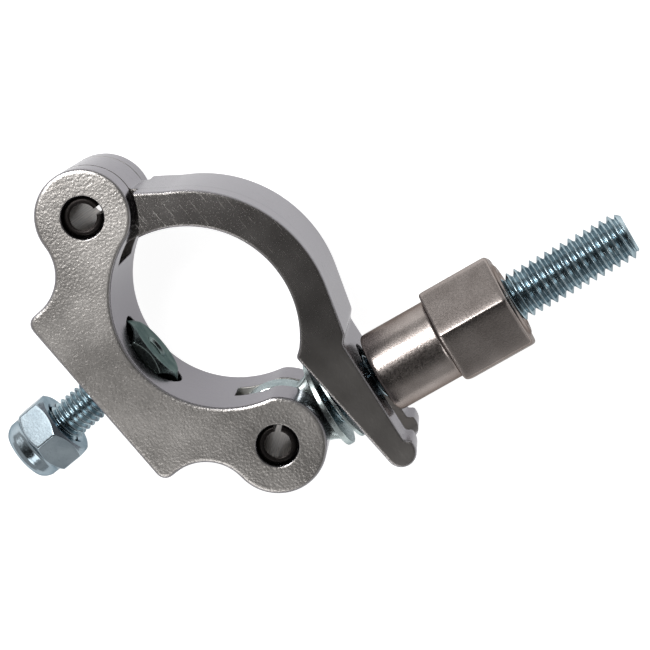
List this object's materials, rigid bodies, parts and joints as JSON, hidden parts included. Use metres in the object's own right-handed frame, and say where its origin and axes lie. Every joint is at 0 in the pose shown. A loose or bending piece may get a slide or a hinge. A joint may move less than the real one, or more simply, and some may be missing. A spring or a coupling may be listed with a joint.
{
  "type": "half coupler pipe clamp",
  "caption": "Slim hinged half coupler that clamps a round tube between a saddle and a swinging arm, shut by a swing bolt with a sleeve nut, with a screw and lock nut under its base.",
  "frame": {"origin": "on the axis of the tube seat, in the rear face of the castings, on which the clamp lies", "axes": "+Z along the tube from the rear face to the front face, +Y from the mounting base over the tube to the arm, +X from the hinge pin to the swing bolt's pin"},
  "size_m": [0.1058, 0.1495, 0.035],
  "materials": {
    "cast_aluminium": "tumbled",
    "zinc_plated_steel": "zinc plated",
    "nickel_plated_steel": "nickel plated",
    "black_spring_steel": "black oxide",
    "blue_nylon": "moulded"
  },
  "bodies": {
    "saddle": {"saddle_body": "cast_aluminium", "hinge_spring_pin": "black_spring_steel", "eye_bolt_spring_pin": "black_spring_steel"},
    "arm": {"hinged_arm": "cast_aluminium"},
    "swing_bolt": {"eye_bolt": "zinc_plated_steel"},
    "washer": {"stud_washer": "zinc_plated_steel"},
    "clamp_nut": {"sleeve_nut": "nickel_plated_steel"},
    "mounting_screw": {"mounting_bolt": "zinc_plated_steel"},
    "lock_nut": {"lock_nut": "zinc_plated_steel", "lock_ring": "blue_nylon"}
  },
  "joints": [
    {"name": "sleeve_nut_travel", "type": "slide", "parent": "swing_bolt", "child": "clamp_nut", "axis": [0.1635, 0.9865, 0], "range_m": [0, 0.06]},
    {"name": "arm_swing", "type": "hinge", "parent": "saddle", "child": "arm", "pos_m": [-0.0353, -0.0128, 0.0175], "axis": [0, 0, 1], "range_deg": [0, 110]},
    {"name": "swing_bolt_swing", "type": "hinge", "parent": "saddle", "child": "swing_bolt", "pos_m": [0.0353, -0.0128, 0.0175], "axis": [0, 0, -1], "range_deg": [0, 100]},
    {"name": "washer_play", "type": "slide", "parent": "swing_bolt", "child": "washer", "axis": [0.1635, 0.9865, 0], "range_m": [-0.0004, 0]},
    {"name": "mounting_screw_turn", "type": "hinge", "parent": "saddle", "child": "mounting_screw", "pos_m": [0, -0.04, 0.0175], "axis": [0, -1, 0], "range_deg": [0, 3168]},
    {"name": "lock_nut_travel", "type": "slide", "parent": "saddle", "child": "lock_nut", "axis": [0, 1, 0], "range_m": [0, 0.0133]}
  ],
  "couplings": [
    {"joint": "arm_swing", "follows": "sleeve_nut_travel", "rad_per_m": 8.7266},
    {"joint": "swing_bolt_swing", "follows": "sleeve_nut_travel", "rad_per_m": 8.7266},
    {"joint": "lock_nut_travel", "follows": "mounting_screw_turn", "m_per_rad": 0.00023873}
  ]
}
